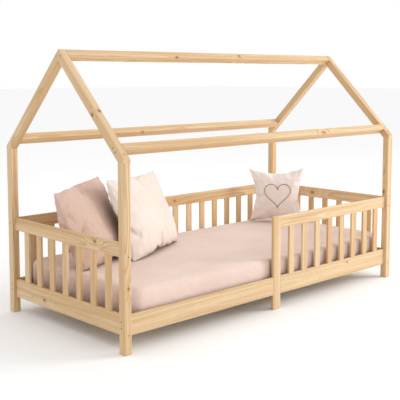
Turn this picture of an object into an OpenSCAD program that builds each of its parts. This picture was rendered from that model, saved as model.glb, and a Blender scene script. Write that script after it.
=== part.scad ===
// House-shaped toddler bed in solid pine, for a 90 x 200 cm mattress.
// Two gable end frames carry a ridge beam and two eaves beams. Low rails with baluster guards
// close the head, the foot, the back and the right half of the front; the left half of the
// front is the way in. Soft goods are plain closed solids.
// Frame: origin on the floor under the bed's middle, +X from head to foot, -Y the entry side,
// +Z up. All sizes in mm.

/* [Overall] */
// Outside length of the frame, head to foot
bed_l = 2080; // [1900:10:2200]
// Outside width of the frame, front to back
bed_w = 970; // [900:10:1100]
// Side of the square posts and roof timbers
post_s = 40; // [36:1:50]
// Height of the posts, where the rafters are seated
post_h = 860; // [800:10:1000]
// Chamfer on the long edges of the timbers
edge_c = 1.6; // [0.5:0.1:2.5]

/* [Rails and guards] */
// How far the rails lie behind the outer faces of the posts
recess = 16; // [12:1:18]
// Thickness of the rail boards
rail_t = 16; // [14:1:18]
// Height of the underside of the low rails
low_z = 80; // [60:5:110]
// Height of the low rail boards
low_h = 95; // [95:1:110]
// Height of the underside of the guard rails
top_z = 435; // [420:5:480]
// Height of the guard rail boards
top_h = 64; // [60:1:70]
// Width of a baluster
bal_w = 40; // [30:1:45]
// Thickness of a baluster
bal_t = 12; // [10:1:13]
// Number of balusters in the back guard
bal_back = 17; // [15:1:17]
// Number of balusters in the front guard
bal_front = 8; // [7:1:8]
// Number of balusters in each end guard
bal_end = 7; // [6:1:7]
// Width of the stile that ends the front guard at the entry
stile_w = 58; // [50:1:64]

/* [Roof] */
// Distance up the slope from the top of the plumb cut to the eaves beam
eaves_up = 51; // [45:1:80]

/* [Slatted base] */
// Number of slats
slat_n = 12; // [12:1:12]
// Width of a slat
slat_w = 90; // [60:5:95]
// Thickness of a slat
slat_t = 14; // [12:1:16]

/* [Mattress] */
// Length of the mattress
mat_l = 1960; // [1900:2:1996]
// Width of the mattress
mat_w = 880; // [800:10:880]
// Thickness of the mattress
mat_t = 161; // [140:1:165]

/* [Hidden] */

// True circles
$fn = 48;
// Small overrun that lets a cutter pass a face
over = 1;

// Half sizes of the frame and of the square timbers
hx = bed_l / 2;
hy = bed_w / 2;
hp = post_s / 2;
// Inner faces of the posts
in_x = hx - post_s;
in_y = hy - post_s;
// Rail boards: outer face, inner face and middle, measured from the bed's axes
rail_out_y = hy - recess;
rail_in_y = rail_out_y - rail_t;
rail_mid_y = rail_out_y - rail_t / 2;
rail_out_x = hx - recess;
rail_mid_x = rail_out_x - rail_t / 2;
rail_c = 1.2;

// Roof at 45 degrees: diagonal of a square timber, height of the plumb cut and of the apex
diag = post_s * sqrt(2);
plumb_h = diag - post_s;
apex_z = post_h + plumb_h + hy;
ridge_z = apex_z - diag / 2;
// Centre of an eaves beam
eaves_y = hy - (eaves_up + post_s / 2) / sqrt(2) - hp / sqrt(2);
eaves_z = post_h + plumb_h + (eaves_up + post_s / 2) / sqrt(2) - hp / sqrt(2);

// Balusters: depth let into each rail, and spacing
tenon = 12;
back_gap = (2 * in_x - bal_back * bal_w) / (bal_back + 1);
pitch = bal_w + back_gap;
front_gap = (in_x - stile_w / 2 - bal_front * bal_w) / (bal_front + 1);
bal_c = 0.8;

// Screws: shank, head, how far a head sits below the surface, and hexagon socket
shank_d = 5;
head_d = 8;
head_h = 3.5;
sink = 1.2;
socket_d = 4.4;
socket_h = 2.2;
small_d = 3.5;
small_head_d = 7;
small_head_h = 2;
dowel_d = 8;
dowel_l = 40;

// Heights of the fasteners in the posts
low_screw_z = [low_z + 40, low_z + 70];
low_dowel_z = low_z + 24;
guard_screw_z = top_z + 40;
guard_dowel_z = top_z + 20;
end_screw_z = [low_z + 8, top_z + 8];
end_dowel_z = [low_z + 55, top_z + 53];
// Lengths of the fasteners
rail_screw_l = 80;
roof_screw_l = 80;
foot_screw_l = 70;
// Ridge and eaves screw positions about the beam centres
ridge_dy = 17;
ridge_dz = -4;
eaves_ds = 12;
// Height of the dowel through the apex seam, and of the rafter foot screw's head
apex_dowel_z = apex_z - 45;
foot_head_z = post_h + 22;

// Slat cleats and slats
cleat_w = 22;
cleat_h = 18;
cleat_z = low_z + 1;
cleat_gap = 1;
slat_z = cleat_z + cleat_h;
// Room left past each slat's ends, and past the last slats to the posts
slat_end_gap = 3;
slat_post_gap = 15;
slat_l = 2 * (rail_in_y - slat_end_gap);
slat_end = in_x - slat_post_gap - slat_w / 2;
slat_pitch = 2 * slat_end / (slat_n - 1);
slat_screw_y = rail_in_y - cleat_w / 2;
slat_screw_l = 28;
cleat_screw_l = 34;
cleat_screw_z = cleat_z + cleat_h / 2;
cleat_screws_n = 6;
stile_screw_z = [low_z + 25, low_z + 70];
stile_screw_l = 14;
stile_dowel_z = [top_z + 16, top_z + 48];
stile_dowel_l = 30;
lap = rail_t / 2;

// Mattress: shifted against the foot, resting just clear of the slats
soft_gap = 0.6;
post_gap = 1;
mat_x = in_x - mat_l / 2 - post_gap;
mat_z = slat_z + slat_t + soft_gap;
mat_top = mat_z + mat_t;
mat_r = 38;
mat_corner_r = 88;

pine = [0.91, 0.79, 0.61];
steel = [0.66, 0.66, 0.67];
beech = [0.86, 0.73, 0.54];
sheet_pink = [0.87, 0.72, 0.66];
cushion_grey = [0.83, 0.76, 0.74];

// ---- helpers ----

// Rectangle a x b about the origin with chamfered corners
module chamfered(a, b, c) {
  polygon([[a / 2 - c, -b / 2], [a / 2, -b / 2 + c], [a / 2, b / 2 - c], [a / 2 - c, b / 2],
           [-a / 2 + c, b / 2], [-a / 2, b / 2 - c], [-a / 2, -b / 2 + c], [-a / 2 + c, -b / 2]]);
}

// Board along X from x0 to x1, centred at y, z with sizes wy, wz
module bar_x(x0, x1, y, z, wy, wz, c) {
  translate([x0, y, z])
    rotate([90, 0, 90])
      linear_extrude(x1 - x0)
        chamfered(wy, wz, c);
}

// Board along Y from -half to +half, centred at x, z with sizes wx, wz
module bar_y(half, x, z, wx, wz, c) {
  translate([x, half, z])
    rotate([90, 0, 0])
      linear_extrude(2 * half)
        chamfered(wx, wz, c);
}

// Moves a piece modelled at the back of the foot end to corner sx, sy
module corner(sx, sy) {
  mirror([sx < 0 ? 1 : 0, 0, 0])
    mirror([0, sy < 0 ? 1 : 0, 0])
      children();
}

// Head of the screw at the origin facing +Z, shank going down
module screw(len) {
  difference() {
    union() {
      translate([0, 0, -head_h])
        cylinder(d = head_d, h = head_h);
      translate([0, 0, -len])
        cylinder(d = shank_d, h = len - head_h);
    }
    translate([0, 0, -socket_h])
      cylinder(d = socket_d, h = socket_h + over, $fn = 6);
  }
}

// Hole for a screw whose head is sunk below the surface at z = 0
module screw_hole(len, rise) {
  translate([0, 0, -sink - head_h])
    cylinder(d = head_d, h = sink + head_h + rise);
  translate([0, 0, -sink - len])
    cylinder(d = shank_d, h = len);
}

module small_screw(len) {
  translate([0, 0, -small_head_h])
    cylinder(d = small_head_d, h = small_head_h);
  translate([0, 0, -len])
    cylinder(d = small_d, h = len - small_head_h);
}

module small_hole(len) {
  translate([0, 0, -small_head_h])
    cylinder(d = small_head_d, h = small_head_h + over);
  translate([0, 0, -len])
    cylinder(d = small_d, h = len);
}

// Dowel along X, centred on x
module dowel_x(x, y, z, len) {
  translate([x - len / 2, y, z])
    rotate([0, 90, 0])
      cylinder(d = dowel_d, h = len);
}

// Dowel along Y, centred on y
module dowel_y(x, y, z, len) {
  translate([x, y - len / 2, z])
    rotate([-90, 0, 0])
      cylinder(d = dowel_d, h = len);
}

// ---- fastener sets at one corner, modelled at the back of the foot end ----

module side_rail_screw_at(z) {
  translate([hx - sink, rail_mid_y, z])
    rotate([0, 90, 0])
      screw(rail_screw_l);
}

module side_rail_hole_at(z) {
  translate([hx, rail_mid_y, z])
    rotate([0, 90, 0])
      screw_hole(rail_screw_l, over);
}

module end_rail_screw_at(z) {
  translate([rail_mid_x, hy - sink, z])
    rotate([-90, 0, 0])
      screw(rail_screw_l);
}

module end_rail_hole_at(z) {
  translate([rail_mid_x, hy, z])
    rotate([-90, 0, 0])
      screw_hole(rail_screw_l, over);
}

module side_dowel_at(z) {
  dowel_x(in_x, rail_mid_y, z, dowel_l);
}

module end_dowel_at(z) {
  dowel_y(rail_mid_x, in_y, z, dowel_l);
}

module ridge_screw_at(sy) {
  translate([hx - sink, sy * ridge_dy, ridge_z + ridge_dz])
    rotate([0, 90, 0])
      screw(roof_screw_l);
}

module ridge_hole_at(sy) {
  translate([hx, sy * ridge_dy, ridge_z + ridge_dz])
    rotate([0, 90, 0])
      screw_hole(roof_screw_l, over);
}

// Offsets along the slope are +1 up and -1 down
module eaves_screw_at(s) {
  translate([hx - sink, eaves_y - s * eaves_ds / sqrt(2), eaves_z + s * eaves_ds / sqrt(2)])
    rotate([0, 90, 0])
      screw(roof_screw_l);
}

module eaves_hole_at(s) {
  translate([hx, eaves_y - s * eaves_ds / sqrt(2), eaves_z + s * eaves_ds / sqrt(2)])
    rotate([0, 90, 0])
      screw_hole(roof_screw_l, over);
}

module foot_screw_at() {
  translate([hx - hp, hy - hp, foot_head_z])
    screw(foot_screw_l);
}

module foot_hole_at() {
  translate([hx - hp, hy - hp, foot_head_z + sink])
    screw_hole(foot_screw_l, post_s);
}

module apex_dowel_at() {
  dowel_y(hx - hp, 0, apex_dowel_z, dowel_l);
}

// Every hole that the corner's fasteners need
module corner_holes() {
  for (z = low_screw_z)
    side_rail_hole_at(z);
  for (z = end_screw_z)
    end_rail_hole_at(z);
  for (z = end_dowel_z)
    end_dowel_at(z);
  side_dowel_at(low_dowel_z);
  foot_hole_at();
}

module guard_holes() {
  side_rail_hole_at(guard_screw_z);
  side_dowel_at(guard_dowel_z);
}

// ---- posts and roof ----

module post(sx, sy) {
  color(pine)
    corner(sx, sy)
      difference() {
        translate([hx - hp, hy - hp, 0])
          linear_extrude(post_h)
            chamfered(post_s, post_s, edge_c);
        corner_holes();
        if (sy > 0 || sx > 0)
          guard_holes();
      }
}

module rafter(sx, sy) {
  color(pine)
    corner(sx, sy)
      difference() {
        intersection() {
          translate([hx - hp, hy, post_h + plumb_h])
            rotate([-45, 0, 0])
              translate([0, 0, -post_s / 2])
                rotate([90, 0, 0])
                  linear_extrude(2 * bed_w, center = true)
                    chamfered(post_s, post_s, edge_c);
          translate([in_x - over, 0, 0])
            rotate([90, 0, 90])
              linear_extrude(post_s + 2 * over)
                polygon([[hy, post_h], [hy, post_h + plumb_h], [0, apex_z], [0, apex_z - diag],
                         [in_y, post_h]]);
        }
        ridge_hole_at(1);
        eaves_hole_at(1);
        eaves_hole_at(-1);
        foot_hole_at();
        apex_dowel_at();
      }
}

// Square timber turned to the roof slope, between the end frames
module roof_beam(y, z) {
  translate([-in_x, y, z])
    rotate([90, 0, 90])
      rotate([0, 0, 45])
        linear_extrude(2 * in_x)
          chamfered(post_s, post_s, edge_c);
}

module ridge_beam() {
  color(pine)
    difference() {
      roof_beam(0, ridge_z);
      for (sx = [-1, 1], sy = [-1, 1])
        corner(sx, sy)
          ridge_hole_at(1);
    }
}

module eaves_beam(sy) {
  color(pine)
    difference() {
      roof_beam(sy * eaves_y, eaves_z);
      for (sx = [-1, 1])
        corner(sx, sy) {
          eaves_hole_at(1);
          eaves_hole_at(-1);
        }
    }
}

// ---- rails ----

function back_x(i) = -in_x + back_gap + bal_w / 2 + i * pitch;
function front_x(i) = stile_w / 2 + front_gap + bal_w / 2 + i * (bal_w + front_gap);
function end_y(i) = (i - (bal_end - 1) / 2) * pitch;

module side_baluster(x, sy) {
  translate([x, sy * rail_mid_y, low_z + low_h - tenon])
    linear_extrude(top_z - low_z - low_h + 2 * tenon)
      chamfered(bal_w, bal_t, bal_c);
}

module end_baluster(y, sx) {
  translate([sx * rail_mid_x, y, low_z + low_h - tenon])
    linear_extrude(top_z - low_z - low_h + 2 * tenon)
      chamfered(bal_t, bal_w, bal_c);
}

module balusters_back() {
  color(pine)
    for (i = [0:bal_back - 1])
      side_baluster(back_x(i), 1);
}

module balusters_front() {
  color(pine)
    for (i = [0:bal_front - 1])
      side_baluster(front_x(i), -1);
}

module balusters_end(sx) {
  color(pine)
    for (i = [0:bal_end - 1])
      end_baluster(end_y(i), sx);
}

module low_rail_end(sx) {
  color(pine)
    difference() {
      bar_y(in_y, sx * rail_mid_x, low_z + low_h / 2, rail_t, low_h, rail_c);
      balusters_end(sx);
      for (sy = [-1, 1])
        corner(sx, sy) {
          end_rail_hole_at(end_screw_z[0]);
          end_dowel_at(end_dowel_z[0]);
        }
    }
}

module guard_rail_end(sx) {
  color(pine)
    difference() {
      bar_y(in_y, sx * rail_mid_x, top_z + top_h / 2, rail_t, top_h, rail_c);
      balusters_end(sx);
      for (sy = [-1, 1])
        corner(sx, sy) {
          end_rail_hole_at(end_screw_z[1]);
          end_dowel_at(end_dowel_z[1]);
        }
    }
}

// Holes in one low side rail: post screws and dowels at both ends, cleat screws between
module low_side_holes(sy) {
  for (sx = [-1, 1])
    corner(sx, sy) {
      for (z = low_screw_z)
        side_rail_hole_at(z);
      side_dowel_at(low_dowel_z);
    }
  cleat_screw_holes(sy);
}

module low_rail_back() {
  color(pine)
    difference() {
      bar_x(-in_x, in_x, rail_mid_y, low_z + low_h / 2, rail_t, low_h, rail_c);
      balusters_back();
      low_side_holes(1);
    }
}

// The front rail is halved on its outer side where the entry stile is let in
module low_rail_front() {
  color(pine)
    difference() {
      bar_x(-in_x, in_x, -rail_mid_y, low_z + low_h / 2, rail_t, low_h, rail_c);
      translate([-stile_w / 2, -rail_out_y - over, low_z - over])
        cube([stile_w, lap + over, low_h + 2 * over]);
      balusters_front();
      low_side_holes(-1);
      stile_screw_holes();
    }
}

module guard_rail_back() {
  color(pine)
    difference() {
      bar_x(-in_x, in_x, rail_mid_y, top_z + top_h / 2, rail_t, top_h, rail_c);
      balusters_back();
      for (sx = [-1, 1])
        corner(sx, 1)
          guard_holes();
    }
}

module guard_rail_front() {
  color(pine)
    difference() {
      bar_x(stile_w / 2, in_x, -rail_mid_y, top_z + top_h / 2, rail_t, top_h, rail_c);
      balusters_front();
      corner(1, -1)
        guard_holes();
      stile_dowels();
    }
}

// Board at the entry, from the floor to the top of the front guard
module entry_stile() {
  color(pine)
    difference() {
      translate([0, -rail_mid_y, 0])
        linear_extrude(top_z + top_h)
          chamfered(stile_w, rail_t, rail_c);
      translate([-stile_w / 2 - over, -rail_out_y + lap, low_z])
        cube([stile_w + 2 * over, lap + over, low_h]);
      stile_screw_holes();
      stile_dowels();
    }
}

module stile_dowels() {
  color(beech)
    for (z = stile_dowel_z)
      dowel_x(stile_w / 2, -rail_mid_y, z, stile_dowel_l);
}

module stile_screws() {
  color(steel)
    for (sx = [-1, 1], z = stile_screw_z)
      translate([sx * stile_w / 4, -rail_in_y, z])
        rotate([-90, 0, 0])
          small_screw(stile_screw_l);
}

module stile_screw_holes() {
  for (sx = [-1, 1], z = stile_screw_z)
    translate([sx * stile_w / 4, -rail_in_y, z])
      rotate([-90, 0, 0])
        small_hole(stile_screw_l);
}

// ---- slatted base ----

function slat_x(i) = -slat_end + (i - 1) * slat_pitch;
function cleat_screw_x(i) = (i - (cleat_screws_n - 1) / 2) * 2 * slat_pitch;

// Places children at each cleat screw of side sy, head facing the middle of the bed
module at_cleat_screws(sy) {
  for (i = [0:cleat_screws_n - 1])
    translate([cleat_screw_x(i), sy * (rail_in_y - cleat_w), cleat_screw_z])
      rotate([sy * 90, 0, 0])
        children();
}

module cleat_screw_holes(sy) {
  at_cleat_screws(sy)
    small_hole(cleat_screw_l);
}

module slat_cleat(sy) {
  color(pine)
    difference() {
      bar_x(-in_x + cleat_gap, in_x - cleat_gap, sy * (rail_in_y - cleat_w / 2),
            cleat_z + cleat_h / 2, cleat_w, cleat_h, rail_c);
      cleat_screw_holes(sy);
      for (i = [1:slat_n])
        translate([slat_x(i), sy * slat_screw_y, slat_z + slat_t])
          small_hole(slat_screw_l);
    }
}

module slat(i) {
  color(pine)
    difference() {
      bar_y(slat_l / 2, slat_x(i), slat_z + slat_t / 2, slat_w, slat_t, rail_c);
      for (sy = [-1, 1])
        translate([slat_x(i), sy * slat_screw_y, slat_z + slat_t])
          small_hole(slat_screw_l);
    }
}

module cleat_screws() {
  color(steel)
    for (sy = [-1, 1])
      at_cleat_screws(sy)
        small_screw(cleat_screw_l);
}

module slat_screws() {
  color(steel)
    for (i = [1:slat_n], sy = [-1, 1])
      translate([slat_x(i), sy * slat_screw_y, slat_z + slat_t])
        small_screw(slat_screw_l);
}

// ---- frame fasteners ----

module low_rail_screws() {
  color(steel)
    for (sx = [-1, 1], sy = [-1, 1], z = low_screw_z)
      corner(sx, sy)
        side_rail_screw_at(z);
}

// The front guard reaches only the foot post
module guard_rail_screws() {
  color(steel)
    for (c = [[-1, 1], [1, 1], [1, -1]])
      corner(c[0], c[1])
        side_rail_screw_at(guard_screw_z);
}

module end_rail_screws() {
  color(steel)
    for (sx = [-1, 1], sy = [-1, 1], z = end_screw_z)
      corner(sx, sy)
        end_rail_screw_at(z);
}

module ridge_screws() {
  color(steel)
    for (sx = [-1, 1], sy = [-1, 1])
      corner(sx, 1)
        ridge_screw_at(sy);
}

module eaves_screws() {
  color(steel)
    for (sx = [-1, 1], sy = [-1, 1], s = [-1, 1])
      corner(sx, sy)
        eaves_screw_at(s);
}

module rafter_foot_screws() {
  color(steel)
    for (sx = [-1, 1], sy = [-1, 1])
      corner(sx, sy)
        foot_screw_at();
}

module rail_dowels() {
  color(beech) {
    for (sx = [-1, 1], sy = [-1, 1])
      corner(sx, sy) {
        side_dowel_at(low_dowel_z);
        for (z = end_dowel_z)
          end_dowel_at(z);
      }
    for (c = [[-1, 1], [1, 1], [1, -1]])
      corner(c[0], c[1])
        side_dowel_at(guard_dowel_z);
  }
}

module apex_dowels() {
  color(beech)
    for (sx = [-1, 1])
      corner(sx, 1)
        apex_dowel_at();
}

// ---- soft goods ----

// Block with rounded edges r and plan corners of radius rc
module mattress() {
  color(sheet_pink)
    hull()
      for (sx = [-1, 1], sy = [-1, 1], z = [mat_z + mat_r, mat_top - mat_r])
        translate([mat_x + sx * (mat_l / 2 - mat_corner_r), sy * (mat_w / 2 - mat_corner_r), z])
          rotate_extrude($fn = 32)
            translate([mat_corner_r - mat_r, 0])
              intersection() {
                circle(r = mat_r, $fn = 32);
                translate([0, -mat_r])
                  square([mat_r, 2 * mat_r]);
              }
}

// Clear height between the mattress and what stands on it
stand_gap = 1.6;
// Pillow w x h x t standing on its lower edge at x, y, turned by heading and leaning back
module pillow(at, heading, lean, w, h, t) {
  translate([at[0], at[1], mat_top + stand_gap + sin(lean) * t * pillow_layers[0][1] / 2])
    rotate([0, 0, heading])
      rotate([-lean, 0, 0])
        translate([0, 0, h / 2])
          hull()
            for (layer = pillow_layers)
              cube([w * layer[0], t * layer[1], h * layer[0]], center = true);
}

// Share of the outline and of the thickness at three levels, from the seam to the crown
pillow_layers = [[1, 0.14], [0.78, 0.72], [0.44, 1]];
pillow_h = 420;
pillow_t = 150;
back_pillow_w = 505;
front_pillow_w = 566;
cushion_w = 350;
cushion_h = 343;
cushion_t = 115;
// Places, headings and leans
back_pillow_at = [-676, 112];
back_pillow_heading = 27.5;
back_pillow_lean = 24;
front_pillow_at = [-334, 118];
front_pillow_heading = 25;
front_pillow_lean = 20;
cushion_at = [818, 244];
cushion_heading = -43.6;
cushion_lean = 2;

module pillow_back() {
  color(sheet_pink)
    pillow(back_pillow_at, back_pillow_heading, back_pillow_lean, back_pillow_w, pillow_h, pillow_t);
}

module pillow_front() {
  color(sheet_pink)
    pillow(front_pillow_at, front_pillow_heading, front_pillow_lean, front_pillow_w, pillow_h, pillow_t);
}

module cushion() {
  color(cushion_grey)
    pillow(cushion_at, cushion_heading, cushion_lean, cushion_w, cushion_h, cushion_t);
}

// ---- assembly ----
post(-1, -1);  // post_head_front
post(-1, 1);  // post_head_back
post(1, -1);  // post_foot_front
post(1, 1);  // post_foot_back
rafter(-1, -1);  // rafter_head_front
rafter(-1, 1);  // rafter_head_back
rafter(1, -1);  // rafter_foot_front
rafter(1, 1);  // rafter_foot_back
ridge_beam();
eaves_beam(-1);  // eaves_beam_front
eaves_beam(1);  // eaves_beam_back
low_rail_end(-1);  // low_rail_head
low_rail_end(1);  // low_rail_foot
low_rail_back();
low_rail_front();
guard_rail_end(-1);  // guard_rail_head
guard_rail_end(1);  // guard_rail_foot
guard_rail_back();
guard_rail_front();
entry_stile();
balusters_end(-1);  // balusters_head
balusters_end(1);  // balusters_foot
balusters_back();
balusters_front();
slat_cleat(-1);  // slat_cleat_front
slat_cleat(1);  // slat_cleat_back
slat(1);  // slat_01
slat(2);  // slat_02
slat(3);  // slat_03
slat(4);  // slat_04
slat(5);  // slat_05
slat(6);  // slat_06
slat(7);  // slat_07
slat(8);  // slat_08
slat(9);  // slat_09
slat(10);  // slat_10
slat(11);  // slat_11
slat(12);  // slat_12
low_rail_screws();
guard_rail_screws();
end_rail_screws();
ridge_screws();
eaves_screws();
rafter_foot_screws();
stile_screws();
cleat_screws();
slat_screws();
rail_dowels();
stile_dowels();
apex_dowels();
mattress();
pillow_back();
pillow_front();
cushion();
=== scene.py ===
# House-frame toddler bed: materials, soft goods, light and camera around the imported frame.
# Metres. X runs from head to foot, -Y is the entry side, Z is up, the floor is z = 0.
import math

import bmesh
import bpy
from mathutils import Matrix, Vector, noise
from mathutils.bvhtree import BVHTree


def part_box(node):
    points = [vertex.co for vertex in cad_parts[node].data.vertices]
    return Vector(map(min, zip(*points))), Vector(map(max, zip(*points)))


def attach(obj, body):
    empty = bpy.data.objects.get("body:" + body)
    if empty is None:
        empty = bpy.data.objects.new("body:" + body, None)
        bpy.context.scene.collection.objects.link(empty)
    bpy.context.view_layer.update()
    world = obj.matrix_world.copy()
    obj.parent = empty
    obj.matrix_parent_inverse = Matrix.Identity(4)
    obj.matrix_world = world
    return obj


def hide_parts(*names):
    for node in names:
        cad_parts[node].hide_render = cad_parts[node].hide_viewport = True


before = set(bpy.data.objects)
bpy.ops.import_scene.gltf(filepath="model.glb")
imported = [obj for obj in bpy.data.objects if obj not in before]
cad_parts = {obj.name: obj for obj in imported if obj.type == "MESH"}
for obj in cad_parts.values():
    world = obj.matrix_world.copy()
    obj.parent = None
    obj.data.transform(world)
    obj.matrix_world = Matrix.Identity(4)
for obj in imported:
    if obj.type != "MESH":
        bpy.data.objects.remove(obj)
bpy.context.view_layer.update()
scene = bpy.context.scene

X, Y, Z = Vector((1, 0, 0)), Vector((0, 1, 0)), Vector((0, 0, 1))
ON_FACE = 1e-6
TINY = 1e-9


# ---------------------------------------------------------------- node trees

class Tree:
    """Short forms for building a node tree."""

    def __init__(self, tree):
        self.tree = tree

    def add(self, kind, inputs=None, **settings):
        node = self.tree.nodes.new(kind)
        for name, value in settings.items():
            setattr(node, name, value)
        for name, value in (inputs or {}).items():
            self.put(node.inputs[name], value)
        return node

    def put(self, socket, value):
        if isinstance(value, bpy.types.NodeSocket):
            self.tree.links.new(value, socket)
        else:
            socket.default_value = value

    def place(self):
        """Where a point lies on its object, in metres."""
        return self.add("ShaderNodeTexCoord").outputs["Object"]

    def math(self, operation, a, b=0.0, c=0.0):
        return self.add("ShaderNodeMath", {0: a, 1: b, 2: c}, operation=operation).outputs[0]

    def vector(self, operation, a, b=(0, 0, 0)):
        node = self.add("ShaderNodeVectorMath", {0: a, 1: b}, operation=operation)
        return node.outputs["Value" if operation in ("DOT_PRODUCT", "LENGTH") else "Vector"]

    def scaled(self, a, factor):
        node = self.add("ShaderNodeVectorMath", {0: a, "Scale": factor}, operation="SCALE")
        return node.outputs["Vector"]

    def xyz(self, a):
        return self.add("ShaderNodeSeparateXYZ", {0: a}).outputs

    def join(self, x, y, z):
        return self.add("ShaderNodeCombineXYZ", {0: x, 1: y, 2: z}).outputs[0]

    def noise(self, vector, scale=1.0, detail=2.0, roughness=0.5, distortion=0.0):
        node = self.add("ShaderNodeTexNoise", {"Vector": vector, "Scale": scale, "Detail": detail,
                                               "Roughness": roughness, "Distortion": distortion})
        return node.outputs["Fac"]

    def drawn_noise(self, vector, stretch, detail, roughness=0.5, distortion=0.0):
        """Noise whose scale differs along each axis."""
        return self.noise(self.vector("MULTIPLY", vector, stretch), 1.0, detail, roughness, distortion)

    def smooth(self, value, low, high, to_low=0.0, to_high=1.0):
        node = self.add("ShaderNodeMapRange", {"Value": value, "From Min": low, "From Max": high,
                                               "To Min": to_low, "To Max": to_high},
                        interpolation_type="SMOOTHSTEP")
        return node.outputs["Result"]

    def mix(self, factor, a, b):
        node = self.add("ShaderNodeMix", data_type="RGBA")
        self.put(node.inputs["Factor"], factor)
        self.put(node.inputs[6], a)
        self.put(node.inputs[7], b)
        return node.outputs[2]

    def openness(self, distance, samples):
        """1 in the open, down to 0 where other surfaces stand within distance."""
        return self.add("ShaderNodeAmbientOcclusion", {"Distance": distance}, samples=samples).outputs["AO"]

    def bump(self, height, strength, distance, **more):
        inputs = {"Strength": strength, "Distance": distance, "Height": height}
        inputs.update(more)
        return self.add("ShaderNodeBump", inputs).outputs[0]


def rgb(r, g, b):
    """A colour given as sRGB bytes, in linear light."""
    def linear(v):
        v /= 255
        return v / 12.92 if v <= 0.04045 else ((v + 0.055) / 1.055) ** 2.4
    return (linear(r), linear(g), linear(b), 1.0)


def new_material(name):
    """A material and its tree, with the Principled shader ready."""
    material = bpy.data.materials.new(name)
    material.use_nodes = True
    return material, Tree(material.node_tree), material.node_tree.nodes["Principled BSDF"]


def new_group(name, inputs, outputs):
    """A node group, its tree, its input sockets and its output node."""
    group = bpy.data.node_groups.new(name, "ShaderNodeTree")
    for label, kind in inputs:
        group.interface.new_socket(label, in_out="INPUT", socket_type=kind)
    for label, kind in outputs:
        group.interface.new_socket(label, in_out="OUTPUT", socket_type=kind)
    tree = Tree(group)
    return group, tree, tree.add("NodeGroupInput").outputs, tree.add("NodeGroupOutput")


# ---------------------------------------------------------------- pine

PALE = rgb(222, 196, 158)
WARM = rgb(206, 171, 124)
LATE = rgb(184, 141, 91)
DEEP = rgb(158, 112, 66)
KNOT = rgb(142, 92, 54)
KNOT_RIM = rgb(104, 64, 38)
# A year's growth, how far the pith strays along a timber, and the broad and fine waves of the rings
RING_GAP = 0.0052
PITH_WANDER = 0.034
RING_SWAY = 0.011
RING_TREMBLE = 0.0011
# How unlike each other the years' widths are, in years
YEAR_SPREAD = 3.2
# Noise scales along and across the grain
SWAY_GRAIN = (1.7, 16, 16)
TREMBLE_GRAIN = (9, 110, 110)
STREAK_GRAIN = (0.9, 34, 34)
FIBRE_GRAIN = (14, 1150, 1150)
DUCT_GRAIN = (48, 720, 720)
# A knot: its own rings, in radians per radius, its scale along the grain, the scale of the bend that it
# makes in the timber's rings, and how far it bends them, in radii
KNOT_RINGS = 26.0
KNOT_STRETCH = 0.72
GRAIN_STRETCH = 0.42
GRAIN_BEND = 2.1
# Where there is no knot, the nearest one counts as this many radii away
NO_KNOT = 9.0
# How far apart along the noise two timbers are cut, and how unlike the bars of a row are
TIMBER_APART = 3.7
BAR_SHIFT = (9.0, 0.05, 0.05)
BAR_TONES = 0.3
# How near another surface must stand for shade to be painted into a seam, and the height of the grain's
# relief
SEAM_SHADE_REACH = 0.012
GRAIN_RELIEF = 0.0004


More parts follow.
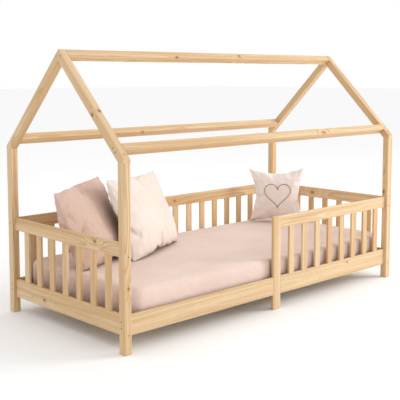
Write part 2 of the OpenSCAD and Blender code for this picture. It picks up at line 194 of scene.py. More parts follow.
def pine_group():
    """Solid softwood: growth rings round a wandering pith, streaks, fibres, resin ducts and knots.
    Vector is in metres with x along the timber."""
    group, t, given, out = new_group(
        "pine_wood",
        [("Vector", "NodeSocketVector"), ("Pith", "NodeSocketVector"), ("Warp", "NodeSocketFloat"),
         ("Knot", "NodeSocketFloat"), ("Knot distance", "NodeSocketFloat"), ("Tone", "NodeSocketFloat")],
        [("Color", "NodeSocketColor"), ("Roughness", "NodeSocketFloat"), ("Height", "NodeSocketFloat")])
    place, pith = given["Vector"], given["Pith"]
    along = t.xyz(place)["X"]
    stray = t.add("ShaderNodeTexNoise", {"Vector": t.join(along, 0.0, 0.0), "Scale": 1.3, "Detail": 1.5})
    wander = t.scaled(stray.outputs["Color"], PITH_WANDER)
    across = t.vector("MULTIPLY", t.vector("ADD", t.vector("SUBTRACT", place, pith), wander), (0, 1, 1))
    distance = t.vector("LENGTH", across)
    distance = t.math("MULTIPLY_ADD", t.drawn_noise(place, SWAY_GRAIN, 2), RING_SWAY, distance)
    distance = t.math("MULTIPLY_ADD", t.drawn_noise(place, TREMBLE_GRAIN, 1), RING_TREMBLE, distance)
    distance = t.math("ADD", distance, given["Warp"])
    count = t.math("DIVIDE", distance, RING_GAP)
    # Years differ in width and darkness, and each darkens slowly and ends sharply
    count = t.math("MULTIPLY_ADD", t.noise(t.join(count, 7.3, 0.0), 0.31, 1), YEAR_SPREAD, count)
    ring = t.math("FRACT", count)
    late = t.math("MULTIPLY", t.smooth(ring, 0.25, 0.86), t.smooth(ring, 1.0, 0.9))
    year = t.noise(t.join(t.math("FLOOR", count), 2.1, 0.0), 0.77, 0)
    late = t.math("MULTIPLY", late, t.smooth(year, 0.3, 0.72, 0.15, 0.62))
    streak = t.drawn_noise(place, STREAK_GRAIN, 3, 0.6)
    base = t.mix(t.smooth(t.math("ADD", streak, given["Tone"]), 0.36, 0.7), PALE, WARM)
    colour = t.mix(late, base, LATE)
    # Fibres a fraction of a millimetre wide and short resin ducts
    fibre = t.drawn_noise(place, FIBRE_GRAIN, 2)
    colour = t.mix(t.smooth(fibre, 0.35, 0.75, 0.0, 0.16), colour, DEEP)
    duct = t.drawn_noise(place, DUCT_GRAIN, 0)
    colour = t.mix(t.smooth(duct, 0.74, 0.8, 0.0, 0.5), colour, DEEP)
    # Round a knot the wood darkens; the knot has rings and a dark bark edge of its own
    near = given["Knot distance"]
    colour = t.mix(t.smooth(near, 3.2, 1.0, 0.0, 0.5), colour, LATE)
    eye = t.math("SINE", t.math("MULTIPLY", near, KNOT_RINGS))
    eye_colour = t.mix(t.math("MULTIPLY_ADD", eye, 0.2, 0.4), DEEP, KNOT)
    colour = t.mix(given["Knot"], colour, eye_colour)
    rim = t.math("MULTIPLY", t.smooth(near, 0.82, 1.0), t.smooth(near, 1.2, 1.02))
    colour = t.mix(t.math("MULTIPLY", rim, 0.5), colour, KNOT_RIM)
    t.put(out.inputs["Color"], colour)
    # Late wood is harder, so it stands up and shines a little more
    rough = t.math("MULTIPLY_ADD", fibre, 0.16, 0.44)
    t.put(out.inputs["Roughness"], t.math("MULTIPLY_ADD", late, -0.1, rough))
    t.put(out.inputs["Height"], t.math("MULTIPLY_ADD", fibre, 0.5, t.math("MULTIPLY", late, 0.55)))
    return group


def knot_group():
    """One branch through the timber. Distance is 1 at its edge; Warp bends the rings round it."""
    group, t, given, out = new_group(
        "pine_knot",
        [("Vector", "NodeSocketVector"), ("Centre", "NodeSocketVector"), ("Direction", "NodeSocketVector"),
         ("Radius", "NodeSocketFloat")],
        [("Mask", "NodeSocketFloat"), ("Distance", "NodeSocketFloat"), ("Warp", "NodeSocketFloat")])
    away = t.vector("SUBTRACT", given["Vector"], given["Centre"])
    reach = t.vector("DOT_PRODUCT", away, given["Direction"])
    aside = t.vector("SUBTRACT", away, t.scaled(given["Direction"], reach))
    aside = t.vector("MULTIPLY", aside, (KNOT_STRETCH, 1, 1))
    distance = t.math("DIVIDE", t.vector("LENGTH", aside), given["Radius"])
    # The edge is a little uneven; the noise's mean is taken off again
    wobble = t.noise(given["Vector"], 130.0, 1)
    distance = t.math("MULTIPLY_ADD", wobble, 0.35, t.math("SUBTRACT", distance, 0.17))
    # Rings stretch along the timber as they pass the branch
    stretched = t.vector("LENGTH", t.vector("MULTIPLY", aside, (GRAIN_STRETCH, 1, 1)))
    far = t.math("DIVIDE", stretched, given["Radius"])
    bulge = t.math("EXPONENT", t.math("MULTIPLY", t.math("MULTIPLY", far, far), -0.085))
    t.put(out.inputs["Mask"], t.smooth(distance, 1.06, 0.94))
    t.put(out.inputs["Distance"], distance)
    t.put(out.inputs["Warp"], t.math("MULTIPLY", bulge, t.math("MULTIPLY", given["Radius"], GRAIN_BEND)))
    return group


PINE = pine_group()
PINE_KNOT = knot_group()


def along_axis(axis):
    """Euler angles that turn axis onto x, for a Mapping node."""
    return axis.rotation_difference(X).to_euler()


def pine(name, axis, centre, seed, pith, knots=(), tone=0.0, bars=None):
    """Pine whose grain runs along axis. pith is its place across the timber from centre, in metres. knots
    are (place from centre, direction, radius), with x along the grain. bars = (axis, spacing) gives each
    bar of a row its own wood."""
    material, t, shader = new_material(name)
    place = t.place()
    local = t.add("ShaderNodeMapping", {"Vector": t.vector("SUBTRACT", place, tuple(centre)),
                                        "Rotation": along_axis(axis)}).outputs[0]
    if bars:
        bar = t.math("ROUND", t.math("DIVIDE", t.xyz(place)[bars[0]], bars[1]))
        random = t.add("ShaderNodeTexWhiteNoise", {"W": t.math("ADD", bar, seed + 0.5)},
                       noise_dimensions="1D").outputs
        shift = t.vector("SUBTRACT", random["Color"], (0.5, 0.5, 0.5))
        local = t.vector("ADD", local, t.vector("MULTIPLY", shift, BAR_SHIFT))
        tone = t.math("MULTIPLY_ADD", random["Value"], BAR_TONES, tone - BAR_TONES / 2)
    mask, near, warp = 0.0, NO_KNOT, 0.0
    for at, direction, radius in knots:
        knot = t.add("ShaderNodeGroup", {"Vector": local, "Centre": at, "Radius": radius,
                                         "Direction": Vector(direction).normalized()},
                     node_tree=PINE_KNOT).outputs
        mask = t.math("MAXIMUM", knot["Mask"], mask)
        near = t.math("MINIMUM", knot["Distance"], near)
        warp = t.math("ADD", knot["Warp"], warp)
    wood = t.add("ShaderNodeGroup", {"Vector": t.vector("ADD", local, (seed * TIMBER_APART, 0, 0)),
                                     "Pith": (0, pith[0], pith[1]), "Warp": warp, "Knot": mask,
                                     "Knot distance": near, "Tone": tone}, node_tree=PINE).outputs
    # Shade is painted into the seams between timbers: the colour darkens toward the knot's colour where
    # other surfaces stand near
    seam = t.smooth(t.openness(SEAM_SHADE_REACH, 4), 0.75, 0.3, 0.0, 0.45)
    t.put(shader.inputs["Base Color"], t.mix(seam, wood["Color"], KNOT))
    t.put(shader.inputs["Roughness"], wood["Roughness"])
    shader.inputs["Specular IOR Level"].default_value = 0.35
    t.put(shader.inputs["Normal"], t.bump(wood["Height"], 0.35, GRAIN_RELIEF))
    return material


def paint(node, material):
    """Gives a CAD node one material."""
    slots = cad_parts[node].data.materials
    if len(slots) == 0:
        slots.append(material)
    for index in range(len(slots)):
        slots[index] = material


def middle(node):
    low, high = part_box(node)
    return (low + high) / 2


DOWN_SLOPE = Vector((0, 1, -1)).normalized()
BACK_SLOPE = Vector((0, 1, 1)).normalized()
TIMBERS = [
    # node, grain, pith across the timber, knots, tone
    ("post_head_front", Z, (0.043, 0.03), [((-0.13, 0, 0), (0, 1, 0.2), 0.005)], -0.02),
    ("post_head_back", Z, (-0.05, 0.02), [], -0.1),
    ("post_foot_front", Z, (0.036, -0.05), [((0.1, 0, 0), (0, 0.4, 1), 0.006)], 0.0),
    ("post_foot_back", Z, (0.02, 0.045), [], 0.06),
    ("rafter_head_front", BACK_SLOPE, (0.04, 0.036), [((-0.05, 0, 0), (0, 1, 0), 0.005)], 0.0),
    ("rafter_head_back", DOWN_SLOPE, (-0.04, 0.05), [], 0.04),
    ("rafter_foot_front", BACK_SLOPE, (0.05, -0.03), [], 0.02),
    ("rafter_foot_back", DOWN_SLOPE, (0.03, 0.06), [((0.1, 0, 0), (0, 1, 0), 0.006)], 0.03),
    ("ridge_beam", X, (0.05, 0.02), [((-0.31, 0, 0), (0, 1, 0), 0.005), ((0.18, 0, 0), (0, -1, 1), 0.006)],
     0.0),
    ("eaves_beam_front", X, (-0.034, 0.05), [((0.42, 0, 0), (0, 1, -0.4), 0.006)], 0.02),
    ("eaves_beam_back", X, (0.05, -0.045), [((-0.2, 0, 0), (0, 1, 0.1), 0.005)], 0.04),
    ("low_rail_head", Y, (0.045, 0.01), [((0.18, 0, -0.012), (0, 1, 0.1), 0.007)], 0.0),
    ("low_rail_foot", Y, (-0.05, 0.0), [((-0.12, 0, 0.02), (0, 1, 0), 0.008)], 0.02),
    ("low_rail_back", X, (-0.06, -0.02), [((-0.4, 0, 0.02), (0, 1, 0), 0.008)], 0.03),
    ("low_rail_front", X, (0.046, 0.006), [((0.62, 0, 0.026), (0, 1, 0), 0.004)], -0.04),
    ("guard_rail_head", Y, (0.08, 0.01), [((-0.25, 0, 0.012), (0, 1, 0), 0.006)], 0.02),
    ("guard_rail_foot", Y, (-0.06, 0.01), [((0.1, 0, 0.0), (0, 1, 0), 0.008)], -0.08),
    ("guard_rail_back", X, (0.06, -0.01), [((0.1, 0, 0.0), (0, 1, 0), 0.006)], 0.0),
    ("guard_rail_front", X, (0.05, 0.012), [], -0.03),
    ("entry_stile", Z, (0.05, -0.01), [((-0.13, 0.012, 0), (0, 0.2, 1), 0.004)], 0.0),
    ("slat_cleat_front", X, (0.03, 0.04), [((0.3, 0, 0), (0, 1, 0), 0.004)], 0.05),
    ("slat_cleat_back", X, (-0.03, 0.04), [], 0.06),
]
for index, (node, grain, pith, knots, tone) in enumerate(TIMBERS):
    paint(node, pine("pine_" + node, grain, middle(node), index + 1, pith, knots, tone))

# About the spacing of a guard's bars
BALUSTER_PITCH = 0.1133
BALUSTER_SEED = 31
BALUSTER_ROWS = [("balusters_head", "Y"), ("balusters_foot", "Y"), ("balusters_back", "X"),
                 ("balusters_front", "X")]
for index, (node, across) in enumerate(BALUSTER_ROWS):
    paint(node, pine("pine_" + node, Z, middle(node), BALUSTER_SEED + index, (0.05, 0.03), tone=0.02,
                     bars=(across, BALUSTER_PITCH)))

SLATS = 12
SLAT_SEED = 40
for number in range(1, SLATS + 1):
    # Every other slat has a knot; its place, the pith and the tone differ from slat to slat
    node = "slat_%02d" % number
    knots = [((0.17 * math.sin(number * 2.3), 0.02 * math.cos(number * 1.7), 0), (0, 0.1, 1), 0.006)]
    paint(node, pine("pine_" + node, Y, middle(node), SLAT_SEED + number, (0.02 * math.sin(number), -0.06),
                     knots if number % 2 else (), 0.05 * math.sin(number * 1.3)))

DOWEL_SEED = 61
DOWEL_TONE = 0.3
for index, (node, grain) in enumerate([("rail_dowels", X), ("stile_dowels", X), ("apex_dowels", Y)]):
    paint(node, pine("beech_" + node, grain, (0, 0, 0), DOWEL_SEED + index, (0.3, 0.2), tone=DOWEL_TONE))


# ---------------------------------------------------------------- screws

ZINC_BRIGHT = rgb(176, 174, 168)
ZINC_DULL = rgb(138, 134, 126)
SCREWS = ["low_rail_screws", "guard_rail_screws", "end_rail_screws", "ridge_screws", "eaves_screws",
          "rafter_foot_screws", "stile_screws", "cleat_screws", "slat_screws"]


def screw_steel():
    """Zinc-plated steel: dull patches and light scratches."""
    material, t, shader = new_material("zinc_plated_steel")
    place = t.place()
    dull = t.noise(place, 420.0, 3)
    scratch = t.drawn_noise(place, (2600, 300, 2600), 2)
    t.put(shader.inputs["Base Color"], t.mix(t.smooth(dull, 0.35, 0.7), ZINC_BRIGHT, ZINC_DULL))
    shader.inputs["Metallic"].default_value = 1.0
    t.put(shader.inputs["Roughness"], t.math("MULTIPLY_ADD", dull, 0.3, 0.26))
    t.put(shader.inputs["Normal"], t.bump(scratch, 0.3, 0.0001))
    return material


STEEL = screw_steel()
for node in SCREWS:
    paint(node, STEEL)


# ---------------------------------------------------------------- cloth

# Shade painted into gaps: what is left of each colour channel deep in a gap, and how near the other
# surfaces are there
PAINTED_GAP_SHADE = (0.42, 0.34, 0.3)
GAP_SHADE_REACH = 0.1
SLUB_WEAVE = (60, 900, 900)
CREASE_RUN = (7, 16, 16)
CREASE_RELIEF = 0.006
THREAD_RELIEF = 0.0002


def cloth(name, pale, deep, thread=0.0007, crease=0.5, sheen=0.25):
    """Plain-weave cotton: crossed threads, slubs, soft colour drift and small creases, with shade painted
    into its gaps. pale and deep are the ends of its colour drift."""
    material, t, shader = new_material(name)
    place = t.place()
    sides = t.xyz(place)
    ribs = [t.math("SINE", t.math("MULTIPLY", sides[axis], math.tau / thread)) for axis in "XYZ"]
    weave = t.math("ADD", t.math("MULTIPLY", ribs[0], ribs[1]), t.math("MULTIPLY", ribs[2], ribs[0]))
    slub = t.drawn_noise(place, SLUB_WEAVE, 2)
    drift = t.noise(place, 3.2, 4, 0.55)
    small = t.noise(place, 46.0, 3, 0.6)
    mixed = t.math("MULTIPLY_ADD", small, 0.35, t.math("MULTIPLY", drift, 0.65))
    colour = t.mix(t.smooth(mixed, 0.34, 0.66), pale, deep)
    colour = t.mix(t.smooth(slub, 0.5, 0.8, 0.0, 0.18), colour, deep)
    colour = t.mix(t.smooth(weave, 0.2, -1.6, 0.0, 0.12), colour, deep)
    # Shade is painted into the cloth's colour where other surfaces stand near, as in gaps, under the
    # pillows and by the rails
    painted_shade = tuple(channel * left for channel, left in zip(deep, PAINTED_GAP_SHADE)) + (1.0,)
    colour = t.mix(t.smooth(t.openness(GAP_SHADE_REACH, 6), 0.64, 0.14, 0.0, 0.8), colour, painted_shade)
    t.put(shader.inputs["Base Color"], colour)
    t.put(shader.inputs["Roughness"], t.smooth(small, 0.3, 0.7, 0.78, 0.92))
    shader.inputs["Specular IOR Level"].default_value = 0.2
    shader.inputs["Sheen Weight"].default_value = sheen
    shader.inputs["Sheen Roughness"].default_value = 0.6
    creases = t.drawn_noise(place, CREASE_RUN, 4, 0.55, 0.7)
    coarse = t.bump(creases, crease, CREASE_RELIEF)
    t.put(shader.inputs["Normal"], t.bump(weave, 0.25, THREAD_RELIEF, Normal=coarse))
    return material


SHEET_CLOTH = cloth("cotton_sheet", rgb(227, 203, 191), rgb(218, 193, 180), crease=0.3)
FRONT_CASE = cloth("cotton_front_pillow", rgb(232, 221, 212), rgb(225, 211, 200), crease=0.3)
BACK_CASE = cloth("cotton_back_pillow", rgb(208, 178, 162), rgb(196, 164, 147), crease=0.35)
CUSHION_CASE = cloth("cotton_cushion", rgb(237, 225, 219), rgb(228, 214, 207), crease=0.25)
CORE_COVER = cloth("mattress_cover", rgb(244, 242, 236), rgb(230, 227, 219), thread=0.0011, crease=0.15)
THREAD = cloth("brown_thread", rgb(158, 118, 78), rgb(122, 86, 54), thread=0.0012, crease=0.0, sheen=0.4)


def new_piece(name, mesh, material, body):
    """Puts a mesh in the scene as a piece on a body."""
    mesh.materials.append(material)
    for polygon in mesh.polygons:
        polygon.use_smooth = True
    piece = bpy.data.objects.new(name, mesh)
    scene.collection.objects.link(piece)
    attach(piece, body)
    return piece


def ripple(point, scale, seed):
    """Smooth noise from -1 to 1."""
    return noise.noise(Vector((point.x * scale[0], point.y * scale[1], point.z * scale[2] + seed * 17.3)))


# ---------------------------------------------------------------- mattress and fitted sheet

MAT_LOW, MAT_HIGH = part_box("mattress")
MAT_MID = (MAT_LOW + MAT_HIGH) / 2
MAT_HALF = (MAT_HIGH - MAT_LOW) / 2
# Roundings of the plan's corners and of the top and bottom edges
PLAN_R = 0.082
TOP_R = 0.036
LOW_R = 0.010
# The core is this much smaller than the sheet round it, and its underside is quilted
CORE_GAP = 0.006
CORE_CELL = 0.02
QUILT = 0.12
QUILT_DEPTH = 0.0022
# The sheet's tuck under the mattress, how far it keeps inside the CAD's faces so that its folds have room,
# and how far it is raised off the slats
TUCK = 0.07
EASE = 0.0016
LIFT = 0.0004
SHEET_CELL = 0.012
# Folds fade over this area round each corner, and the top is flat this near its edges
CORNER_AREA = 0.02
FLAT_EDGE = 0.10
# Each wave of the top: noise scales along x, y and z, and height
LONG_WAVE = ((1.6, 9, 1), 0.0030)
SHORT_WAVE = ((3, 26, 1), 0.0017)
# Creases that fan out from the top's corners, in waves' radians per radian turned, and the hem's gathers,
# in waves' radians per metre, each with its height
CORNER_CREASES = 22
CREASE_HEIGHT = 0.0016
GATHERS = 210
GATHER_HEIGHT = 0.0016
# The sides' folds: waves' radians per metre, depth all along, added depth at the corners, and unevenness
SIDE_FOLDS = 74
SIDE_DEPTH = 0.0004
CORNER_DEPTH = 0.0028
SIDE_SWAY = 0.0012


def box_grid(half, step, keep=None):
    """A bmesh of a box's surface, in squares of about step. keep says which cells stay."""
    counts = [max(2, round(2 * h / step)) for h in half]
    bm = bmesh.new()
    seen = {}

    def vertex(key):
        if key not in seen:
            seen[key] = bm.verts.new([-half[a] + 2 * half[a] * key[a] / counts[a] for a in range(3)])
        return seen[key]

    for axis in range(3):
        u, v = (axis + 1) % 3, (axis + 2) % 3
        for side in (0, counts[axis]):
            for i in range(counts[u]):
                for j in range(counts[v]):
                    corners = []
                    for du, dv in ((0, 0), (1, 0), (1, 1), (0, 1)):
                        key = [0, 0, 0]
                        key[axis], key[u], key[v] = side, i + du, j + dv
                        corners.append(vertex(tuple(key)))
                    if side == 0:
                        corners.reverse()
                    centre = sum((c.co for c in corners), Vector()) / 4
                    if keep is None or keep(centre):
                        bm.faces.new(corners)
    loose = [v for v in bm.verts if not v.link_faces]
    bmesh.ops.delete(bm, geom=loose, context="VERTS")
    return bm


def rounded(point, half, plan_r, top_r, low_r):
    """A point of a box's surface, moved onto the box with its plan corners and long edges rounded."""
    inner = Vector([max(plan_r - h, min(h - plan_r, c)) for c, h in zip(point.xy, half.xy)])
    away = point.xy - inner
    inset = plan_r - max(abs(away.x), abs(away.y))
    height = point.z
    r = top_r if point.z > 0 else low_r
    rise = abs(point.z) - (half.z - r)
    if inset < r and rise > 0:
        bend = Vector((inset - r, rise)).normalized() * r
        inset = r + bend.x
        height = math.copysign(half.z - r + bend.y, point.z)
    if away.length > TINY:
        inner += away.normalized() * (plan_r - inset)
    return Vector((inner.x, inner.y, height))


def mattress_mesh(name, bm, middle_at):
    """The bmesh as a mesh, moved to the mattress's place."""
    mesh = bpy.data.meshes.new(name)
    bm.to_mesh(mesh)
    bm.free()
    mesh.transform(Matrix.Translation(middle_at))
    return mesh


def mattress_core():
    """Foam block in a quilted cover, a little smaller than the sheet round it."""
    half = MAT_HALF - Vector((CORE_GAP, CORE_GAP, CORE_GAP))
    bm = box_grid(half, CORE_CELL)
    for v in bm.verts:
        flat = v.co.copy()
        v.co = rounded(flat, half, PLAN_R - CORE_GAP, TOP_R - CORE_GAP, LOW_R - CORE_GAP)
        if flat.z < -half.z + ON_FACE:
            # Channels of the quilting, which cross
            channel = min(abs(math.sin(math.pi * (flat.x + flat.y) / QUILT)),
                          abs(math.sin(math.pi * (flat.x - flat.y) / QUILT)))
            v.co.z += QUILT_DEPTH * (1 - min(1, channel * 3))
    mesh = mattress_mesh("mattress_core", bm, MAT_MID)
    core = new_piece("mattress_core", mesh, CORE_COVER, "mattress")
    return core


def top_wave(flat, end_x, end_y, corner):
    """Height of the top's long soft waves, pulled flat towards the edges, and of its corners' creases."""
    edge = min(1, min(end_x, end_y) / FLAT_EDGE)
    wave = ripple(flat, LONG_WAVE[0], 1) * LONG_WAVE[1] + ripple(flat, SHORT_WAVE[0], 2) * SHORT_WAVE[1]
    pull = math.sin(math.atan2(end_y, end_x) * CORNER_CREASES) * CREASE_HEIGHT * corner
    return (wave - EASE) * edge + pull


def hem_gather(flat):
    """Height of the gathers in the hem, none at the mattress's edge and most at the elastic."""
    gather = math.sin((flat.x + flat.y) * GATHERS + 3 * ripple(flat, (6, 6, 1), 4))
    hem = max(abs(flat.x) - MAT_HALF.x, abs(flat.y) - MAT_HALF.y) + TUCK
    return GATHER_HEIGHT * abs(gather) * max(0, 1 - hem / TUCK)


def side_fold(flat, end_x, end_y, corner):
    """Upright folds that fade upwards, strongest at the corners where the elastic draws in."""
    drop = (MAT_HALF.z - flat.z) / (2 * MAT_HALF.z)
    run = flat.x if end_y < end_x else flat.y
    depth = SIDE_DEPTH + CORNER_DEPTH * corner
    fold = math.sin(run * SIDE_FOLDS + 5 * ripple(flat, (3, 3, 2), 5)) * depth
    fold += ripple(flat, (5, 5, 7), 6) * SIDE_SWAY
    out = Vector((flat.x if end_x < ON_FACE else 0, flat.y if end_y < ON_FACE else 0, 0))
    return out.normalized() * (fold * drop - EASE)


def fitted_sheet():
    """Sheet stretched over the top and sides, drawn in under the mattress by its elastic hem."""
    def keep(centre):
        under = centre.z < -MAT_HALF.z + ON_FACE
        return not under or max(abs(centre.x) - MAT_HALF.x, abs(centre.y) - MAT_HALF.y) > -TUCK

    bm = box_grid(MAT_HALF, SHEET_CELL, keep)
    for v in bm.verts:
        flat = v.co.copy()
        point = rounded(flat, MAT_HALF, PLAN_R, TOP_R, LOW_R)
        end_x, end_y = MAT_HALF.x - abs(flat.x), MAT_HALF.y - abs(flat.y)
        corner = math.exp(-(end_x ** 2 + end_y ** 2) / CORNER_AREA)
        if flat.z > MAT_HALF.z - ON_FACE:
            point.z += top_wave(flat, end_x, end_y, corner)
        elif flat.z < -MAT_HALF.z + ON_FACE:
            point.z += hem_gather(flat)
        else:
            point += side_fold(flat, end_x, end_y, corner)
        v.co = point
    bmesh.ops.recalc_face_normals(bm, faces=bm.faces)
    mesh = mattress_mesh("fitted_sheet", bm, MAT_MID + Vector((0, 0, LIFT)))
    return new_piece("fitted_sheet", mesh, SHEET_CLOTH, "mattress")


core = mattress_core()
sheet = fitted_sheet()
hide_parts("mattress")


# ---------------------------------------------------------------- pillows

# The level that the pillows stand on, clear of the sheet
STAND = MAT_HIGH.z + 0.0016
# The blanks' mesh spacing
PILLOW_CELL = 0.0105
# How full a blank is before it is blown up, and how square its fullness is in plan
PART_FULL = 0.9
CROWN = 2.9
# Folds at right angles to the seam
FOLD_DEPTH = 0.0058
FOLD_SPACING = 0.052
FOLD_REACH = 0.06
FOLD_START = 0.010
# Creases that run out of each corner, on a pillow whose shorter side is RAY_SIDE
RAYS = 13
RAY_DEPTH = 0.0062
RAY_REACH = 0.085
RAY_START = 0.03
RAY_SIDE = 0.45
# Where a pillow presses on what it stands on: the height left, and how softly it flattens
SOFT = 0.004
SOFTNESS = 0.015
SEAM_CREASE = 0.7
# The cloth solver's steps and settings, and the small lumps that a blank starts with
BLOW_FRAMES = 26
LUMP_HEIGHT = 0.004
LUMP_SCALE = 11
SOLVER = {"quality": 7, "mass": 0.2, "air_damping": 2.0,
          "tension_stiffness": 18, "compression_stiffness": 12, "shear_stiffness": 6,
          "bending_stiffness": 0.06, "tension_damping": 8, "compression_damping": 8, "shear_damping": 6,
          "use_pressure": True, "uniform_pressure_force": 2.4, "shrink_min": -0.02}


def pillow_blank(name, width, height, thick, pull):
    """Two layers of cloth sewn round the edge, in the x-z plane, already part full. Front is -y. pull draws
    in the middles of the sides. Also gives the seam's vertices, and where each vertex lies on the cloth,
    from -1 to 1 each way."""
    across, up = round(width / PILLOW_CELL), round(height / PILLOW_CELL)
    points, faces, cut = [], [], []
    front = {}
    for side in (-1, 1):
        grid = {}
        for i in range(across + 1):
            for j in range(up + 1):
                if side == 1 and (i in (0, across) or j in (0, up)):
                    grid[i, j] = front[i, j]
                    continue
                u, w = 2 * i / across - 1, 2 * j / up - 1
                full = ((1 - abs(u) ** CROWN) * (1 - abs(w) ** CROWN)) ** 0.5
                grid[i, j] = len(points)
                points.append((width / 2 * u * (1 - pull * (1 - w * w)), side * thick / 2 * full,
                               height / 2 * w * (1 - pull * (1 - u * u))))
                cut.append((u, w, side))
        front = front or grid
        for i in range(across):
            for j in range(up):
                corners = [grid[i, j], grid[i + 1, j], grid[i + 1, j + 1], grid[i, j + 1]]
                faces.append(corners if side == -1 else corners[::-1])
    mesh = bpy.data.meshes.new(name)
    mesh.from_pydata(points, [], faces)
    seam = [k for k, (u, w, _) in enumerate(cut) if max(abs(u), abs(w)) > 1 - TINY]
    return mesh, seam, cut


def inflate(mesh, seam, thick, seed, shrink):
    """Blows the sewn cloth up with Blender's cloth solver, its seam drawn in as by tight thread, and gives
    back the settled mesh, no thicker than thick."""
    for v in mesh.vertices:
        v.co.y += LUMP_HEIGHT * noise.noise(Vector((v.co.x * LUMP_SCALE, seed, v.co.z * LUMP_SCALE)))
    blank = bpy.data.objects.new("blank", mesh)
    scene.collection.objects.link(blank)
    blank.vertex_groups.new(name="seam").add(seam, 1.0, "REPLACE")
    solver = blank.modifiers.new("cloth", "CLOTH")
    for name, value in SOLVER.items():
        setattr(solver.settings, name, value)
    solver.settings.vertex_group_shrink = "seam"
    solver.settings.shrink_max = shrink
    solver.settings.effector_weights.gravity = 0.0
    solver.point_cache.frame_start = 1
    solver.point_cache.frame_end = BLOW_FRAMES
    for number in range(1, BLOW_FRAMES + 1):
        scene.frame_set(number)
    evaluated = blank.evaluated_get(bpy.context.evaluated_depsgraph_get())
    settled = bpy.data.meshes.new_from_object(evaluated)
    bpy.data.objects.remove(blank)
    scene.frame_set(1)
    reach = max(abs(v.co.y) for v in settled.vertices)
    for v in settled.vertices:
        v.co.y *= min(1.0, thick / 2 / reach)
    return settled


def swell(away, start, reach):
    """A fold's strength: none on the seam, full a little way in, and fading over reach."""
    return math.exp(-away / reach) * (1 - math.exp(-away / start))


def seam_fold(at, along, side, seed):
    """A small fold, at from the seam and along it."""
    phase = math.tau * along / FOLD_SPACING + 4 * noise.noise(Vector((along * 12, seed + side, at * 9)))
    strength = 0.5 + 0.5 * noise.noise(Vector((along * 7, seed * 2, side)))
    return FOLD_DEPTH * strength * math.sin(phase) * swell(at, FOLD_START, FOLD_REACH)


def pucker(mesh, cut, width, height, seed):
    """Folds that start at the seam and creases that run out of the corners."""
    ray_depth = RAY_DEPTH * min(width, height) / RAY_SIDE
    for v, (u, w, side) in zip(mesh.vertices, cut):
        from_x, from_z = (1 - abs(u)) * width / 2, (1 - abs(w)) * height / 2
        v.co.y += side * seam_fold(from_z, u * width / 2, side, seed)
        v.co.y += side * seam_fold(from_x, w * height / 2, side, seed)
        turned = math.atan2(from_z, from_x) * RAYS + seed * (2 + side) + 3 * (u > 0) + 5 * (w > 0)
        turned += 1.5 * noise.noise(Vector((u * 3, seed, w * 3)))
        fade = swell(math.hypot(from_x, from_z), RAY_START, RAY_REACH)
        v.co.y += side * ray_depth * math.sin(turned) * fade


def stand_up(mesh, foot, heading, lean, height, sag, skew, tilt, belly):
    """Turns the pillow to its place, on its lower edge at foot and leaning back. Its filling sags to the
    foot; skew and tilt slant its top, and belly rounds its left side out."""
    turn = Matrix.Rotation(heading, 4, "Z") @ Matrix.Rotation(-lean, 4, "X")
    low = min(v.co.z for v in mesh.vertices)
    for v in mesh.vertices:
        level = (v.co.z - low) / height
        v.co.x += skew * level
        v.co.z += tilt * level * v.co.x
        if v.co.x < 0:
            v.co.x *= 1 + belly * math.sin(math.pi * min(1, max(0, level))) ** 2
        v.co.y *= 1 + sag * (0.5 - level)
        point = foot + turn @ Vector((v.co.x, v.co.y, v.co.z - low))
        if point.z < STAND + SOFT:
            point.z = STAND + SOFT * math.exp((point.z - STAND - SOFT) / SOFTNESS)
        v.co = point


def pillow(name, node, case, foot, heading, lean, size, thick, seed, pull, sag=0.25, skew=0.0,
           tilt=0.0, belly=0.0, shrink=0.015, sink=0.014):
    """A pillow in place of a CAD node. It is cut taller by sink, which is pressed flat where it stands."""
    width, height = size[0], size[1] + sink
    mesh, seam, cut = pillow_blank(name, width, height, thick * PART_FULL, pull)
    mesh = inflate(mesh, seam, thick, seed, shrink)
    mesh.name = name
    pucker(mesh, cut, width, height, seed)
    stand_up(mesh, foot - Vector((0, 0, sink)), heading, lean, height, sag, skew, tilt, belly)
    on_seam = set(seam)
    crease = mesh.attributes.new("crease_edge", "FLOAT", "EDGE")
    for edge in mesh.edges:
        crease.data[edge.index].value = SEAM_CREASE if on_seam.issuperset(edge.vertices) else 0.0
    piece = new_piece(name, mesh, case, node)
    smooth = piece.modifiers.new("smooth", "SUBSURF")
    smooth.levels = smooth.render_levels = 1
    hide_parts(node)
    return piece


# Feet, headings and leans repeat those of the CAD's plain pillows
CUSHION_FOOT = Vector((0.818, 0.244, STAND))
CUSHION_HEADING = math.radians(-43.6)
pillow("back_pillow", "pillow_back", BACK_CASE, Vector((-0.676, 0.112, STAND)),
       math.radians(27.5), math.radians(24), (0.54, 0.45), 0.15, seed=3.1, pull=-0.10, sag=0.5,
       skew=0.012, tilt=0.05, belly=0.13)
pillow("front_pillow", "pillow_front", FRONT_CASE, Vector((-0.334, 0.118, STAND)),
       math.radians(25), math.radians(20), (0.605, 0.472), 0.155, seed=8.4, pull=-0.08, sag=0.35)
cushion = pillow("small_cushion", "cushion", CUSHION_CASE, CUSHION_FOOT,
                 CUSHION_HEADING, math.radians(2), (0.38, 0.376), 0.105, seed=5.7, pull=0.062,
                 shrink=0.03, sink=0.006)


# ---------------------------------------------------------------- heart on the cushion

HEART_W = 0.17
# The cushion's height, and how far up it the heart's middle is
CUSHION_H = 0.35
HEART_LEVEL = 0.54
HEART_STEPS = 120
CORD_R = 0.0021
CORD_SIDES = 6
# How much thicker the cord is between its stitches, as a share
STITCH_SWELL = 0.14
# Where the plane is from which the outline is cast onto the cushion, well in front of it
CAST_FROM = -0.3


def heart_outline(step):
    """A point of the heart, from -1 to 1 across."""
    a = math.tau * step / HEART_STEPS
    x = math.sin(a) ** 3
    z = (13 * math.cos(a) - 5 * math.cos(2 * a) - 2 * math.cos(3 * a) - math.cos(4 * a)) / 16
    return x, z


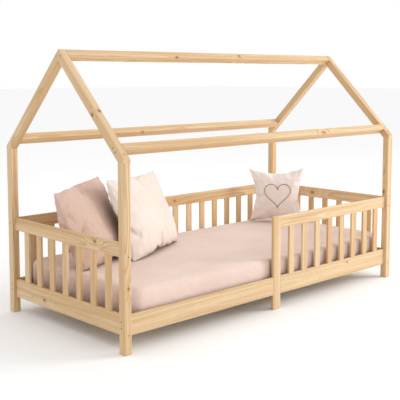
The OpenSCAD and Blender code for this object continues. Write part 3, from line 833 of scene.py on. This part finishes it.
def stitched_heart(on, foot, heading):
    """An outline of thick thread couched on the cushion's face, a plain heart."""
    turn = Matrix.Translation(foot) @ Matrix.Rotation(heading, 4, "Z")
    back = turn.inverted()
    bvh = BVHTree.FromPolygons([back @ v.co for v in on.data.vertices],
                               [tuple(f.vertices) for f in on.data.polygons])
    ring = []
    for step in range(HEART_STEPS):
        x, z = heart_outline(step)
        start = Vector((x * HEART_W / 2, CAST_FROM, CUSHION_H * HEART_LEVEL + z * HEART_W / 2))
        hit = bvh.ray_cast(start, Y)[0]
        ring.append(hit - Y * CORD_R * 0.5)
    bm = bmesh.new()
    loops = []
    for step, place in enumerate(ring):
        ahead = (ring[(step + 1) % HEART_STEPS] - ring[step - 1]).normalized()
        aside = ahead.cross(-Y).normalized()
        up = aside.cross(ahead)
        # The thread is whipped on, so it swells between stitches
        r = CORD_R * (1 + STITCH_SWELL * math.cos(math.pi * step))
        turns = [math.tau * side / CORD_SIDES for side in range(CORD_SIDES)]
        loops.append([bm.verts.new(turn @ (place + aside * math.cos(a) * r + up * math.sin(a) * r))
                      for a in turns])
    for step in range(HEART_STEPS):
        here, after = loops[step], loops[(step + 1) % HEART_STEPS]
        for side in range(CORD_SIDES):
            beside = (side + 1) % CORD_SIDES
            bm.faces.new((here[side], here[beside], after[beside], after[side]))
    bmesh.ops.recalc_face_normals(bm, faces=bm.faces)
    mesh = bpy.data.meshes.new("cushion_heart")
    bm.to_mesh(mesh)
    bm.free()
    return new_piece("cushion_heart", mesh, THREAD, "cushion")


stitched_heart(cushion, CUSHION_FOOT, CUSHION_HEADING)


# ---------------------------------------------------------------- floor, light and camera

FLOOR_HALF = 60
# The floor lies just under the feet, so the two faces don't flicker
FLOOR_GAP = 0.0005
WHITE = (1, 1, 1, 1)
KEY_PLACE = Vector((5.0, -3.6, 2.5))
KEY_TARGET = Vector((0, 0, 0.5))
KEY_SIZE = (2.6, 2.2)
KEY_POWER = 230
KEY_COLOUR = (1.0, 0.985, 0.96)
CAMERA_PLACE = (-3.216, -3.241, 1.242)
CAMERA_LENS = 73.16
CAMERA_DOWN = 5.44
CAMERA_HEADING = -43.72
CAMERA_SHIFT = -0.12


def floor_material():
    material, t, shader = new_material("pale_floor")
    colour = t.mix(t.noise(t.place(), 2.0, 3), (0.93, 0.93, 0.93, 1), (0.96, 0.96, 0.96, 1))
    t.put(shader.inputs["Base Color"], colour)
    shader.inputs["Roughness"].default_value = 0.9
    shader.inputs["Specular IOR Level"].default_value = 0.1
    return material


floor_mesh = bpy.data.meshes.new("floor")
floor_corners = [(x * FLOOR_HALF, y * FLOOR_HALF, 0) for x, y in ((-1, -1), (1, -1), (1, 1), (-1, 1))]
floor_mesh.from_pydata(floor_corners, [], [(0, 1, 2, 3)])
floor_mesh.materials.append(floor_material())
floor = bpy.data.objects.new("floor", floor_mesh)
floor.location.z = -FLOOR_GAP
scene.collection.objects.link(floor)

world = bpy.data.worlds.new("studio")
scene.world = world
world.use_nodes = True
sky = world.node_tree.nodes["Background"]
sky.inputs["Color"].default_value = WHITE
sky.inputs["Strength"].default_value = 1.0

key_light = bpy.data.lights.new("key", "AREA")
key_light.shape = "RECTANGLE"
key_light.size, key_light.size_y = KEY_SIZE
key_light.energy = KEY_POWER
key_light.color = KEY_COLOUR
key = bpy.data.objects.new("key", key_light)
key.location = KEY_PLACE
key.rotation_euler = (KEY_TARGET - KEY_PLACE).to_track_quat("-Z", "Y").to_euler()
scene.collection.objects.link(key)

camera_data = bpy.data.cameras.new("camera")
camera_data.sensor_width = 36.0
camera_data.lens = CAMERA_LENS
camera_data.shift_y = CAMERA_SHIFT
camera_data.clip_end = 200
camera = bpy.data.objects.new("camera", camera_data)
scene.collection.objects.link(camera)
camera.location = CAMERA_PLACE
camera.rotation_euler = (math.radians(90 - CAMERA_DOWN), 0, math.radians(CAMERA_HEADING))
scene.camera = camera
scene.view_settings.view_transform = "Standard"
scene.view_settings.look = "None"
